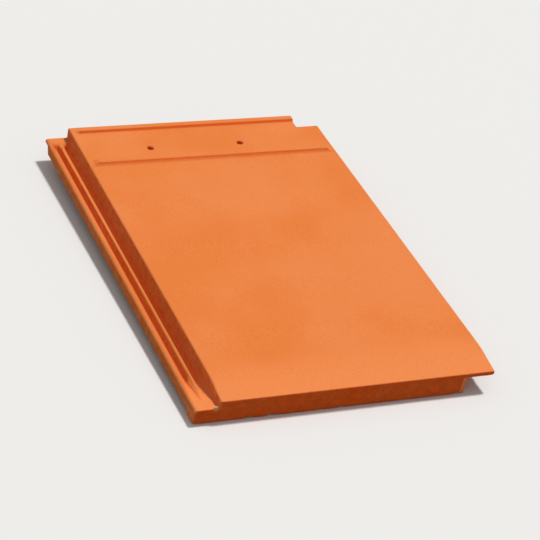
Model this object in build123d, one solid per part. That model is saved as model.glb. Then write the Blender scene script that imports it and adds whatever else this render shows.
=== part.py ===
from build123d import *
import math
import os

# Flat interlocking roof tile, pressed from clay and fired as one solid.
# It is drawn with its face level at z = 0, the nose at y = 0, the head at larger y and the left
# edge of the face at x = 0. The last step lays it down on its nose and its two nibs.

# Face and nose
face_width = 263.4
tile_length = 440.0
face_above_nose_bottom = 25.8
bevel_length = 30.6
bevel_drop = 4.3
bevel_blend = 100.0
nose_arris = 2.0
nose_right_corner = 5.0
head_arris = 2.0
face_arris = 1.5

# Body and its hollowed underside
body_thickness = 13.0
underside_depth = 22.0
nose_rim = 14.0
nose_rim_slope = 3.0
head_thickness = 15.0
head_step = 14.0
head_step_slope = 5.0
resting_radius = 1.5
moulded_radius = 1.5

# Lock under the left edge, covered by the neighbouring tile
lock_width = 23.2
lock_depth = 11.1
lock_side_angle = 4.0
lock_corner = 3.0
lock_root = 1.0
outer_rib = 4.2
groove_count = 2
groove_width = 7.2
groove_draft = 0.9
middle_rib = 3.2
groove_floor_depth = 16.5
groove_floor_radius = 1.2
lock_end_block = 12.0
groove_run_out = 40.0
groove_head_wall = 12.0
groove_head_slope = 4.0

# Cover flange along the right edge, with ribs that hang into the neighbour's grooves
joint_gap = 2.6
flange_overhang = 24.4
flange_depth = 8.4
flange_root = 2.5
flange_edge = 1.8
body_side_angle = 5.0
hanging_rib_root = 4.2
hanging_rib_tip = 3.2
hanging_rib_depth = 14.0
hanging_rib_round = 1.0
hanging_rib_start = 18.0
hanging_rib_end_gap = 6.0
flange_cut_back = 24.0

# Recesses pressed into the underside, leaving ribs between them
recess_columns = 2
recess_rows = 3
recess_rib = 10.0
recess_left_wall = 8.0
recess_right_wall = 13.0
recess_nose_wall = 19.0
recess_head_wall = 52.0
recess_corner = 9.0
recess_draft_angle = 14.0

# Weather bars across the face, under the head lap
bar_height = 3.0
bar_foot = 11.0
bar_top = 6.0
bar_round = 1.2
bar_inset = 6.0
bar_end_slope = 5.0
lower_bar_from_head = 68.0
upper_bar_from_head = 9.0

# Nibs that hook over the batten
nib_depth = 34.0
nib_front_from_head = 30.0
nib_thickness = 14.0
nib_front_draft = 1.0
nib_back_slope = 5.0
nib_width = 34.0
nib_side_draft = 4.0
nib_spacing = 144.0

# Nail holes, above the batten
nail_hole_diameter = 5.5
nail_hole_spacing = 96.0
nail_hole_from_head = 46.0
nail_sink_diameter = 9.0
nail_sink_depth = 1.8

# How far cutting shapes run past the clay, and how far added ones start inside it
spare = 10.0
fused = 1.0

# Positions worked out from the sizes
cover_width = face_width + joint_gap
body_right = face_width - flange_overhang
body_middle = body_right / 2
head = tile_length
groove_pitch = groove_width + middle_rib
groove_centres = [outer_rib - lock_width + groove_width / 2 + i * groove_pitch for i in range(groove_count)]


def outline(corners):
    """Closed outline through the corners, each given as two positions and a corner radius."""
    points = [(a, b) for a, b, radius in corners]
    radii = [radius for a, b, radius in corners]
    return make_face(FilletPolyline(*points, radius=radii, close=True))


def lean_in(angle, height):
    """How far a drafted side leans in over a height."""
    return height * math.tan(math.radians(angle))


def run_up_slope(section):
    """Carries a section drawn in x and z up the whole slope, past both ends of the tile."""
    return extrude(
        Plane.XZ.offset(spare) * section, amount=tile_length + 2 * spare, dir=(0, 1, 0)
    )


def run_across(profile):
    """Carries a profile drawn in y and z across the whole tile, past both of its sides."""
    return extrude(
        Plane.YZ.offset(-lock_width - spare) * profile,
        amount=lock_width + face_width + 2 * spare,
        dir=(1, 0, 0),
    )


def sloped_bar(middle, foot_width, foot, tip_width, tip, radius, root):
    """Outline of a rib, bar or groove from its foot level to its tip level, tip corners rounded.
    It goes on with upright sides from the foot to the root level, inside or above the clay."""
    return outline(
        [
            (middle - foot_width / 2, root, 0),
            (middle - foot_width / 2, foot, 0),
            (middle - tip_width / 2, tip, radius),
            (middle + tip_width / 2, tip, radius),
            (middle + foot_width / 2, foot, 0),
            (middle + foot_width / 2, root, 0),
        ]
    )


# The section is drawn down to a level below the clay, with its drafted sides carried on
cut_off = face_above_nose_bottom + spare
lock_left = -lock_width
lock_height = face_above_nose_bottom - lock_depth

# Cross section: low lock ledge on the left, full body, thin flange on the right
cross_section = outline(
    [
        (lock_left - lean_in(lock_side_angle, spare), -cut_off, 0),
        (lock_left + lean_in(lock_side_angle, lock_height), -lock_depth, lock_corner),
        (0, -lock_depth, lock_root),
        (0, spare, 0),
        (face_width, spare, 0),
        (face_width, -flange_depth, flange_edge),
        (body_right, -flange_depth, flange_root),
        (body_right - lean_in(body_side_angle, cut_off - flange_depth), -cut_off, 0),
    ]
)

# Lengthwise profile: bevelled nose standing on its rim, raised underside, thinner head edge
length_profile = outline(
    [
        (0, -bevel_drop, nose_arris),
        (bevel_length, 0, bevel_blend),
        (head, 0, head_arris),
        (head, -head_thickness, moulded_radius),
        (head - head_step + head_step_slope, -head_thickness, moulded_radius),
        (head - head_step, -underside_depth, moulded_radius),
        (nose_rim + nose_rim_slope, -underside_depth, moulded_radius),
        (nose_rim, -face_above_nose_bottom, moulded_radius),
        (0, -face_above_nose_bottom, resting_radius),
    ]
)
tile = run_up_slope(cross_section) & run_across(length_profile)

# One arris runs up both sides of the face and round the front of the lock and the flange
nose_front = tile.faces().sort_by(Axis.Y)[0]
nose_outline = nose_front.edges().filter_by(lambda edge: edge.length < body_right)
tile = fillet(nose_outline, face_arris)

# Under the flange the nose turns its corner with a larger radius, along the drafted side
corner_angle = math.radians(body_side_angle)
corner_plane = Plane(
    origin=(body_right, 0, -flange_depth),
    x_dir=(-math.cos(corner_angle), 0, math.sin(corner_angle)),
    z_dir=(-math.sin(corner_angle), 0, -math.cos(corner_angle)),
)
outside_round = Rectangle(
    nose_right_corner + fused, nose_right_corner + fused, align=(Align.MAX, Align.MAX)
)
outside_round = Pos(nose_right_corner, nose_right_corner) * outside_round
outside_round -= Pos(nose_right_corner, nose_right_corner) * Circle(nose_right_corner)
tile -= extrude(corner_plane * outside_round, amount=cut_off, dir=corner_plane.z_dir)

# Two grooves in the lock: they stop short of the head and run out in a gentle ramp to the
# solid block at the nose
groove_head = head - groove_head_wall
groove_profile = outline(
    [
        (lock_end_block, spare, 0),
        (lock_end_block, -lock_depth, 0),
        (lock_end_block + groove_run_out, -groove_floor_depth, 0),
        (groove_head - groove_head_slope, -groove_floor_depth, 0),
        (groove_head, -lock_depth, 0),
        (groove_head, spare, 0),
    ]
)
for centre in groove_centres:
    groove_section = sloped_bar(
        centre,
        groove_width,
        -lock_depth,
        groove_width - 2 * groove_draft,
        -groove_floor_depth,
        groove_floor_radius,
        2 * spare,
    )
    tile -= run_up_slope(groove_section) & run_across(groove_profile)

# Ribs hanging under the flange, one for each groove of the neighbour, with the same run-out
flange_head = head - flange_cut_back
rib_head = flange_head - hanging_rib_end_gap
rib_profile = outline(
    [
        (hanging_rib_start, -flange_depth + fused / 2, 0),
        (hanging_rib_start, -flange_depth, 0),
        (hanging_rib_start + groove_run_out, -hanging_rib_depth, 0),
        (rib_head - groove_head_slope, -hanging_rib_depth, 0),
        (rib_head, -flange_depth, 0),
        (rib_head, -flange_depth + fused / 2, 0),
    ]
)
for centre in groove_centres:
    rib_section = sloped_bar(
        centre + cover_width,
        hanging_rib_root,
        -flange_depth,
        hanging_rib_tip,
        -hanging_rib_depth,
        hanging_rib_round,
        -flange_depth + fused,
    )
    tile += run_up_slope(rib_section) & run_across(rib_profile)

# Recesses in the underside with drafted walls and rounded corners
recess_left = recess_left_wall
recess_right = body_right - recess_right_wall
recess_start = recess_nose_wall
recess_end = head - recess_head_wall
recess_width = (recess_right - recess_left - (recess_columns - 1) * recess_rib) / recess_columns
recess_length = (recess_end - recess_start - (recess_rows - 1) * recess_rib) / recess_rows
for column in range(recess_columns):
    for row in range(recess_rows):
        recess_x = recess_left + recess_width / 2 + column * (recess_width + recess_rib)
        recess_y = recess_start + recess_length / 2 + row * (recess_length + recess_rib)
        mouth = RectangleRounded(recess_width, recess_length, recess_corner)
        tile -= extrude(
            Pos(recess_x, recess_y, -underside_depth) * mouth,
            amount=underside_depth - body_thickness,
            taper=recess_draft_angle,
        )

# Weather bars across the head lap
bar_reach = sloped_bar(
    face_width / 2,
    face_width - 2 * bar_inset,
    0,
    face_width - 2 * bar_inset - 2 * bar_end_slope,
    bar_height,
    0,
    -fused / 2,
)
for from_head in (lower_bar_from_head, upper_bar_from_head):
    bar_profile = sloped_bar(head - from_head, bar_foot, 0, bar_top, bar_height, bar_round, -fused)
    tile += run_up_slope(bar_reach) & run_across(bar_profile)

# The flange stops short of the head, so that the corner clears the tiles around it
corner_cut = Box(
    flange_overhang + spare,
    flange_cut_back + spare,
    2 * cut_off,
    align=(Align.MIN, Align.MIN, Align.CENTER),
)
tile -= Pos(body_right, flange_head, 0) * corner_cut

# Two nibs, steep on the side that bears on the batten
nib_front = head - nib_front_from_head
nib_profile = outline(
    [
        (nib_front, -underside_depth + fused / 2, 0),
        (nib_front, -underside_depth, 0),
        (nib_front + nib_front_draft, -nib_depth, resting_radius),
        (nib_front + nib_thickness - nib_back_slope, -nib_depth, moulded_radius),
        (nib_front + nib_thickness, -underside_depth, 0),
        (nib_front + nib_thickness, -underside_depth + fused / 2, 0),
    ]
)
for side in (-1, 1):
    nib_front_view = sloped_bar(
        body_middle + side * nib_spacing / 2,
        nib_width,
        -underside_depth,
        nib_width - 2 * nib_side_draft,
        -nib_depth,
        moulded_radius,
        -underside_depth + fused,
    )
    tile += run_up_slope(nib_front_view) & run_across(nib_profile)

# Nail holes with a shallow sink for the head of the nail
for side in (-1, 1):
    hole_x = body_middle + side * nail_hole_spacing / 2
    hole_y = head - nail_hole_from_head
    tile -= Pos(hole_x, hole_y, 0) * Cylinder(nail_hole_diameter / 2, 2 * cut_off)
    tile -= Pos(hole_x, hole_y, -nail_sink_depth) * Cone(
        nail_hole_diameter / 2,
        nail_sink_diameter / 2,
        nail_sink_depth,
        align=(Align.CENTER, Align.CENTER, Align.MIN),
    )

# Laid on a level floor it stands on the front edge of the nose and the two nib tips
lean = math.degrees(
    math.atan2(nib_depth - face_above_nose_bottom, nib_front + nib_front_draft)
)
tile = Rot(lean, 0, 0) * tile
extent = tile.bounding_box()
tile = Pos(-extent.center().X, -extent.center().Y, -extent.min.Z) * tile

os.makedirs("parts", exist_ok=True)
export_step(tile, "parts/roof_tile.step")
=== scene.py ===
import math
import random

import bmesh
import bpy
from mathutils import Matrix, Vector, noise


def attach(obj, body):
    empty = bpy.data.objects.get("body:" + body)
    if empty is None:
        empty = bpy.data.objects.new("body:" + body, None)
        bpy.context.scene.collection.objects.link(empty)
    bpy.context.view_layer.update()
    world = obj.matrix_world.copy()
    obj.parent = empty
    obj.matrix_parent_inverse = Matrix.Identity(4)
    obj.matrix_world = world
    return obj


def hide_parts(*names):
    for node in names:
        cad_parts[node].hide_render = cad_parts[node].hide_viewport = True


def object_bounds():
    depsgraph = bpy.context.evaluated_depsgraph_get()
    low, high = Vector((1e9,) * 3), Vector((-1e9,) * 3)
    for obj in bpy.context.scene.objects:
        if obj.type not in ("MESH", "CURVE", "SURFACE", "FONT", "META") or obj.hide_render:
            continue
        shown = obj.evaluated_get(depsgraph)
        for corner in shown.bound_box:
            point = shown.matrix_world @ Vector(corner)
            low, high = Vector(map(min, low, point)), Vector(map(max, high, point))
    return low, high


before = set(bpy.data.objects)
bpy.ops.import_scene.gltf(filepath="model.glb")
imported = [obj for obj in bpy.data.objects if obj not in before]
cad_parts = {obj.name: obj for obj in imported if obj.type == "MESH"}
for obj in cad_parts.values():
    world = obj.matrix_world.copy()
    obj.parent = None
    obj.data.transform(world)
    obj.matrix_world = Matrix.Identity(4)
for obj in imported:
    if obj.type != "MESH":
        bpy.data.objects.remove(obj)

cad_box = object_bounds()
low, high = cad_box

# Clay roof tile
# A flat interlocking tile pressed from clay in one piece and fired to an even orange.
# It lies face up, on its nose and on the two nibs that would hang it over a batten.
# Pressing and trimming leave soft, slightly uneven arrises, small knocks and a crumb of clay.

tile_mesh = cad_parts["roof_tile"].data.copy()
tile_mesh.name = "clay_roof_tile"
skin = bmesh.new()
skin.from_mesh(tile_mesh)
bmesh.ops.remove_doubles(skin, verts=skin.verts, dist=0.00001)
bmesh.ops.dissolve_limit(
    skin, angle_limit=math.radians(0.3), verts=skin.verts, edges=skin.edges, use_dissolve_boundaries=False
)


def steps(start, end, pitch):
    """Places from start to end, a pitch or a little less apart."""
    count = math.ceil((end - start) / pitch)
    return [start + (end - start) * i / count for i in range(1, count)]


def cut(faces, axis, places):
    """Cuts faces along planes square to an axis, middle plane first. The shape stays as it is."""
    if not places:
        return faces
    half = len(places) // 2
    plane = axis * places[half]
    parts = list({part for face in faces for part in (face, *face.edges, *face.verts)})
    made = bmesh.ops.bisect_plane(skin, geom=parts, dist=0.00002, plane_co=plane, plane_no=axis)["geom"]
    faces = [part for part in made if isinstance(part, bmesh.types.BMFace)]
    below = [face for face in faces if face.calc_center_median().dot(axis) < places[half]]
    beyond = [face for face in faces if face.calc_center_median().dot(axis) >= places[half]]
    return cut(below, axis, places[:half]) + cut(beyond, axis, places[half + 1:])


# The nose is cut finely, because its wear shows, and the rest only along the slope.
across = Vector((1, 0, 0))
up_slope = Vector((0, 1, 0))
upright = Vector((0, 0, 1))
nose_back = low.y + 0.009
nose_top = low.z + 0.0215
halves = cut(skin.faces[:], up_slope, [nose_back])
nose = [face for face in halves if face.calc_center_median().y < nose_back]
rest = [face for face in halves if face.calc_center_median().y >= nose_back]
nose = cut(nose, upright, [low.z + 0.001, low.z + 0.002, *steps(low.z + 0.002, nose_top - 0.004, 0.003)])
nose = cut(nose, upright, [nose_top - 0.004, nose_top - 0.003, nose_top - 0.002, nose_top - 0.001])
nose = cut(nose, up_slope, [low.y + 0.0028, low.y + 0.0036, low.y + 0.0045, low.y + 0.006])
cut(nose, across, steps(low.x, high.x, 0.0011))
cut(rest, up_slope, steps(nose_back, high.y, 0.007))
bmesh.ops.remove_doubles(skin, verts=skin.verts, dist=0.00012)

# The rounded arrises are marked before they wear: narrow strips that turn away from the broad faces.
# The wide rounding where the nose turns its corner under the flange isn't one of them.
arris = skin.faces.layers.float.new("arris")
widest_strip = 0.0013
squarest_tilt = math.cos(math.radians(16))
least_bend = 0.1
under_flange = high.x - 0.01
for face in skin.faces:
    bend = sum(edge.calc_face_angle_signed(0) for edge in face.edges)
    tilt = max(abs(part) for part in face.normal)
    strip = face.calc_area() / max(edge.calc_length() for edge in face.edges)
    wide = face.normal.x > 0.1 and face.normal.y < -0.1 and face.calc_center_median().x < under_flange
    narrow = strip < widest_strip and not wide
    face[arris] = 1.0 if narrow and tilt < squarest_tilt and bend > least_bend else 0.0

# The nose's arrises are pressed tight above its foot: their rounding closes up towards the edge.
skin.normal_update()
foot = low.z + 0.003
nose_front = low.y + 0.0025
closing_up = 0.001
worn = [vertex for vertex in skin.verts if any(face[arris] for face in vertex.link_faces)]
for vertex in worn:
    if vertex.co.y < nose_front and vertex.co.z > foot:
        beside = Vector((0, 0, math.copysign(1, vertex.normal.z)))
        straight = max(0, 1 - 3 * abs(vertex.normal.x / (vertex.normal.z + 0.0001)))
        vertex.co += (beside - up_slope - vertex.normal) * closing_up * straight

# The arrises are never quite straight, least of all at the foot of the nose.
skin.normal_update()
foot_wear = 0.00026
arris_wear = 0.00014
for vertex in worn:
    share = sum(face[arris] for face in vertex.link_faces) / len(vertex.link_faces)
    depth = foot_wear if vertex.co.y < nose_back and vertex.co.z < foot else arris_wear
    waves = noise.noise(vertex.co * 170) + 0.8 * noise.noise(vertex.co * 540)
    vertex.co -= vertex.normal * depth * share**2 * (0.6 + waves)

# Small knocks take clay off the nose's top and bottom arrises. The lower ones bare its paler inside.
knock = skin.verts.layers.float.new("knock")
chance = random.Random(5)
knocks = []
for i in range(6):
    knocks.append((chance.uniform(low.x + 0.03, high.x - 0.01), nose_top, chance.uniform(0.0010, 0.0020)))
for i in range(13):
    knocks.append((chance.uniform(low.x, high.x - 0.03), low.z, chance.uniform(0.0018, 0.0040)))
for x, z, size in knocks:
    middle = Vector((x, low.y, z))
    inward = Vector((0, 0.6, -0.8 if z > low.z else 0.8))
    for vertex in skin.verts:
        away = vertex.co - middle
        from_knock = Vector((away.x * 0.7, away.y, away.z)).length / size
        if from_knock < 1.6:
            from_knock *= 1 + 0.6 * noise.noise(vertex.co * 600)
            vertex.co += inward * size * 0.22 * max(0, 1 - from_knock)
            if z == low.z:
                vertex[knock] = max(vertex[knock], 1 - from_knock)

# A crumb of clay stands on the front of the lock ledge, close to the step.
crumb = Vector((low.x + 0.0198, low.y + 0.0010, low.z + 0.0149))
crumb_radius = 0.0025
crumb_height = 0.0021
for vertex in skin.verts:
    from_crumb = (vertex.co - crumb).length / crumb_radius * (1 + 0.4 * noise.noise(vertex.co * 800))
    if from_crumb < 1.0:
        vertex.co += upright * crumb_height * (1 - from_crumb**2)
        # Values above 1 mark the crumb, which the finish paints paler with a painted highlight.
        vertex[knock] = 2 - 0.8 * from_crumb

bmesh.ops.triangulate(skin, faces=skin.faces)

# Where the wear has turned a sliver over, its corners settle between their neighbours.
for i in range(8):
    skin.normal_update()
    creases = [edge for edge in skin.edges if edge.calc_face_angle(0) > math.radians(100)]
    creased = {vertex for edge in creases for face in edge.link_faces for vertex in face.verts}
    settling = [
        vertex
        for vertex in skin.verts
        if vertex in creased and vertex.co.y < nose_back and any(face[arris] for face in vertex.link_faces)
    ]
    bmesh.ops.smooth_vert(
        skin, verts=settling, factor=0.4, use_axis_x=False, use_axis_y=True, use_axis_z=True
    )
for vertex in skin.verts:
    vertex.co = Vector(min(max(vertex.co[i], low[i]), high[i]) for i in range(3))

skin.to_mesh(tile_mesh)
skin.free()

tile = bpy.data.objects.new("clay_roof_tile", tile_mesh)
bpy.context.scene.collection.objects.link(tile)
tile_mesh.polygons.foreach_set("use_smooth", [True] * len(tile_mesh.polygons))
tile_mesh.set_sharp_from_angle(angle=math.radians(40))
weighted = tile.modifiers.new("even_shading", "WEIGHTED_NORMAL")
weighted.keep_sharp = True


class Wire:
    """A socket of a finish. Arithmetic on it adds the Math nodes that work it out."""

    def __init__(self, socket):
        self.socket = socket

    def node(self, kind, settings, inputs, output=0):
        """Adds a node: its settings come first, then the values or wires of its sockets."""
        tree = self.socket.id_data
        made = tree.nodes.new(kind)
        for name, value in settings.items():
            setattr(made, name, value)
        for name, value in inputs.items():
            if isinstance(value, Wire):
                tree.links.new(value.socket, made.inputs[name])
            else:
                made.inputs[name].default_value = value
        return Wire(made.outputs[output])

    def math(self, operation, first, second=0.0):
        return self.node("ShaderNodeMath", {"operation": operation}, {0: first, 1: second})

    def __add__(self, other):
        return self.math("ADD", self, other)

    def __radd__(self, other):
        return self.math("ADD", other, self)

    def __sub__(self, other):
        return self.math("SUBTRACT", self, other)

    def __rsub__(self, other):
        return self.math("SUBTRACT", other, self)

    def __mul__(self, other):
        return self.math("MULTIPLY", self, other)

    def __rmul__(self, other):
        return self.math("MULTIPLY", other, self)

    def part(self, axis):
        """One part of a vector: X, Y or Z."""
        return self.node("ShaderNodeSeparateXYZ", {}, {"Vector": self}, axis)

    def between(self, start, end):
        """0 below start and 1 above end, with a soft step from one to the other."""
        return self.node(
            "ShaderNodeMapRange",
            {"interpolation_type": "SMOOTHSTEP"},
            {"Value": self, "From Min": start, "From Max": end},
        )

    def mix(self, first, second):
        """The first colour where this is 0 and the second where it is 1."""
        return self.node("ShaderNodeMix", {"data_type": "RGBA"}, {0: self, 6: first, 7: second}, 2)

    def feed(self, socket):
        """Leads this wire into a socket of the finish."""
        self.socket.id_data.links.new(self.socket, socket)


fired_clay = bpy.data.materials.new("fired_clay")
fired_clay.use_nodes = True
clay = fired_clay.node_tree.nodes["Principled BSDF"]
clay.inputs["IOR"].default_value = 1.45
clay.inputs["Specular IOR Level"].default_value = 0.18
clay_wire = Wire(clay.inputs["Base Color"])
place = clay_wire.node("ShaderNodeTexCoord", {}, {}, "Object")
normal = clay_wire.node("ShaderNodeNewGeometry", {}, {}, "Normal")


def cloud(size, detail=2.0, roughness=0.5, shift=0.0):
    """Soft noise about 0.5, with patches of about this size in metres."""
    moved = clay_wire.node("ShaderNodeVectorMath", {"operation": "ADD"}, {0: place, 1: (shift, shift, shift)})
    return clay_wire.node(
        "ShaderNodeTexNoise",
        {},
        {"Vector": moved, "Scale": 1 / size, "Detail": detail, "Roughness": roughness},
        "Fac",
    )


orange = (0.80, 0.205, 0.039, 1)
peach = (0.84, 0.240, 0.064, 1)
ochre = (0.81, 0.226, 0.040, 1)
bevel_peach = (0.90, 0.262, 0.072, 1)
# The next two colours are painted shade for the surfaces turned away from the top.
painted_shade_red = (0.88, 0.104, 0.002, 1)
painted_shade_dark = (0.62, 0.082, 0.002, 1)
# A painted highlight for the nose corner. The bare clay and pale clay colours also carry painted highlights,
# on the crumb and on the arrises facing right.
painted_corner_highlight = (0.98, 0.31, 0.10, 1)
bare_clay_and_highlight = (0.96, 0.50, 0.27, 1)
pale_clay_and_highlight = (0.93, 0.40, 0.18, 1)
dark_grain = (0.58, 0.13, 0.028, 1)

# The face is even, with broad soft patches between orange and peach.
colour = cloud(0.085, 3.0, 0.45).between(0.3, 0.7).mix(orange, peach)
colour = (cloud(0.04, shift=3.0).between(0.5, 0.75) * 0.4).mix(colour, ochre)

# The bevel at the nose is a touch paler.
along = place.part("Y")
colour = (1 - along.between(low.y + 0.012, low.y + 0.055)).mix(colour, bevel_peach)

# Painted shade: the body is deeper and redder on surfaces turned away from the top, the nose most, then the
# underside and the sides, standing in for their shade and the orange light bounced onto them.
facing_up = normal.part("Z")
facing_nose = 1 - normal.part("Y")
off_the_face = 1 - facing_up.between(0.3, 0.8)
painted_shade_mask = facing_nose.between(1.35, 1.85) * 0.85 + (1 - facing_up.between(-0.7, -0.2)) * 0.4
painted_shade_patches = (cloud(0.03, 3.0, 0.55, 9.0) - 0.5) * off_the_face * 0.5
colour = (painted_shade_mask + painted_shade_patches).mix(colour, painted_shade_red)
# Darker patches of painted shade, only on surfaces turned away from the top.
painted_shade_dark_mask = cloud(0.009, 4.0, 0.65, 13.0).between(0.36, 0.64) * off_the_face * 0.5
colour = painted_shade_dark_mask.mix(colour, painted_shade_dark)

# Painted highlight: the nose is paler where it turns its corner under the flange, as if lit from the front
# right. Its side leans out as it rises.
side_lean = 0.0875
side_at_floor = 0.1173
facing_right = normal.part("X")
over_floor = place.part("Z")
past_side = place.part("X") - over_floor * side_lean - side_at_floor
turning = past_side.between(-0.0070, -0.0055) - facing_right.between(0.35, 0.65)
at_nose = facing_nose.between(1.3, 1.6) * (1 - along.between(low.y + 0.005, low.y + 0.007))
below_flange = 1 - over_floor.between(0.0165, 0.0185)
corner_highlight_breakup = cloud(0.004, 3.0, 0.6, 17.0).between(0.2, 0.5) * 0.85
colour = (turning * at_nose * below_flange * corner_highlight_breakup).mix(colour, painted_corner_highlight)

# Fine grit of the clay, and a few darker specks in it.
grain = cloud(0.0014, 3.0, 0.65)
colour = (grain.between(0.5, 0.75) * 0.32).mix(colour, dark_grain)
colour = ((1 - grain).between(0.52, 0.75) * 0.26).mix(colour, pale_clay_and_highlight)
speck = clay_wire.node(
    "ShaderNodeTexVoronoi", {"feature": "F1"}, {"Vector": place, "Scale": 110.0}, "Distance"
)
scarce = cloud(0.02, 1.0, 0.5, 21.0).between(0.55, 0.7)
colour = ((1 - speck.between(0.04, 0.12)) * scarce * 0.5).mix(colour, dark_grain)

# Arrises rub pale. Those facing right get more, a painted highlight for the light from that side on top of
# the wear. Knocks bare a paler clay.
arris_faces = clay_wire.node("ShaderNodeAttribute", {"attribute_name": "arris"}, {}, "Fac")
arris_wear_and_painted_highlight = 0.18 + facing_right.between(0.15, 0.5) * 0.6
colour = (arris_faces * cloud(0.010, 3.0, 0.6, 7.0).between(0.25, 0.6) * arris_wear_and_painted_highlight).mix(colour, pale_clay_and_highlight)
bare = clay_wire.node("ShaderNodeAttribute", {"attribute_name": "knock"}, {}, "Fac")
broken = (bare + (grain - 0.5) * 1.6).between(0.3, 0.6) * bare.between(0.0, 0.15)
# Knocks show bare clay. The crumb's extra paleness is a painted highlight on its bare clay.
colour = (broken * (0.38 + bare.between(0.9, 1.3) * 0.25)).mix(colour, bare_clay_and_highlight)

grit = grain + cloud(0.006, 2.0, 0.5, 5.0)
relief = clay_wire.node(
    "ShaderNodeBump", {}, {"Strength": 0.35, "Distance": 0.0002, "Height": grit}, "Normal"
)
colour.feed(clay.inputs["Base Color"])
(0.72 + grain * 0.2).feed(clay.inputs["Roughness"])
relief.feed(clay.inputs["Normal"])
tile_mesh.materials.clear()
tile_mesh.materials.append(fired_clay)

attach(tile, "root")
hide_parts("roof_tile")

# Studio floor
# A plain pale sheet under the tile, wide enough to fill every view.
# It is pale only where it is seen, and throws less light back onto the tile.

floor_mesh = bpy.data.meshes.new("studio_floor")
half_width = 12.0
corners = [(x * half_width, y * half_width, 0) for x, y in ((-1, -1), (1, -1), (1, 1), (-1, 1))]
floor_mesh.from_pydata(corners, [], [(0, 1, 2, 3)])
floor = bpy.data.objects.new("studio_floor", floor_mesh)
bpy.context.scene.collection.objects.link(floor)
floor_finish = bpy.data.materials.new("pale_floor")
floor_finish.use_nodes = True
floor_surface = floor_finish.node_tree.nodes["Principled BSDF"]
floor_surface.inputs["Roughness"].default_value = 0.9
floor_surface.inputs["Specular IOR Level"].default_value = 0.1


def where_seen(socket):
    """1 where a view, a gloss or a clear body shows the surface, and 0 for the light it gives."""
    wire = Wire(socket)
    seen = wire.node("ShaderNodeLightPath", {}, {}, "Is Camera Ray")
    for ray in ("Is Glossy Ray", "Is Transmission Ray"):
        seen = wire.math("MAXIMUM", seen, wire.node("ShaderNodeLightPath", {}, {}, ray))
    return seen


floor_given = (0.30, 0.27, 0.24, 1)
floor_seen = (0.84, 0.83, 0.81, 1)
floor_socket = floor_surface.inputs["Base Color"]
where_seen(floor_socket).mix(floor_given, floor_seen).feed(floor_socket)
floor_mesh.materials.append(floor_finish)

# Light and camera
# A soft key from above and a little up the slope, so that the nose stands in its own shade,
# with an even pale surround. The camera is at the photograph's angle.

sun_light = bpy.data.lights.new("key", "SUN")
sun_light.energy = 2.38
sun_light.angle = math.radians(8)
sun = bpy.data.objects.new("key", sun_light)
sun.rotation_mode = "QUATERNION"
sun.rotation_quaternion = Vector((0.45, 0.20, 1.0)).to_track_quat("Z", "Y")
bpy.context.scene.collection.objects.link(sun)

world = bpy.data.worlds.new("surround")
bpy.context.scene.world = world
world.use_nodes = True
surround = world.node_tree.nodes["Background"]
surround.inputs["Color"].default_value = (1.0, 1.0, 1.0, 1)
light_given = 0.34
strength = surround.inputs["Strength"]
(light_given + where_seen(strength) * (1 - light_given)).feed(strength)

camera_data = bpy.data.cameras.new("camera")
picture_width = 540
focal_length_in_pixels = 2105
camera_data.sensor_width = 36
camera_data.lens = 36 * focal_length_in_pixels / picture_width
camera_data.clip_start = 0.05
camera_data.clip_end = 100
camera = bpy.data.objects.new("camera", camera_data)
bpy.context.scene.collection.objects.link(camera)
camera.location = (-0.76480, -1.49984, 1.06426)
forward = Vector((0.39088, 0.74979, -0.53388)).normalized()
level = forward.cross(upright).normalized()
roll = math.radians(10.534)
right = math.cos(roll) * level + math.sin(roll) * level.cross(forward)
above = right.cross(forward)
camera.rotation_mode = "QUATERNION"
camera.rotation_quaternion = Matrix((right, above, -forward)).transposed().to_quaternion()
bpy.context.scene.camera = camera
bpy.context.scene.view_settings.view_transform = "Standard"
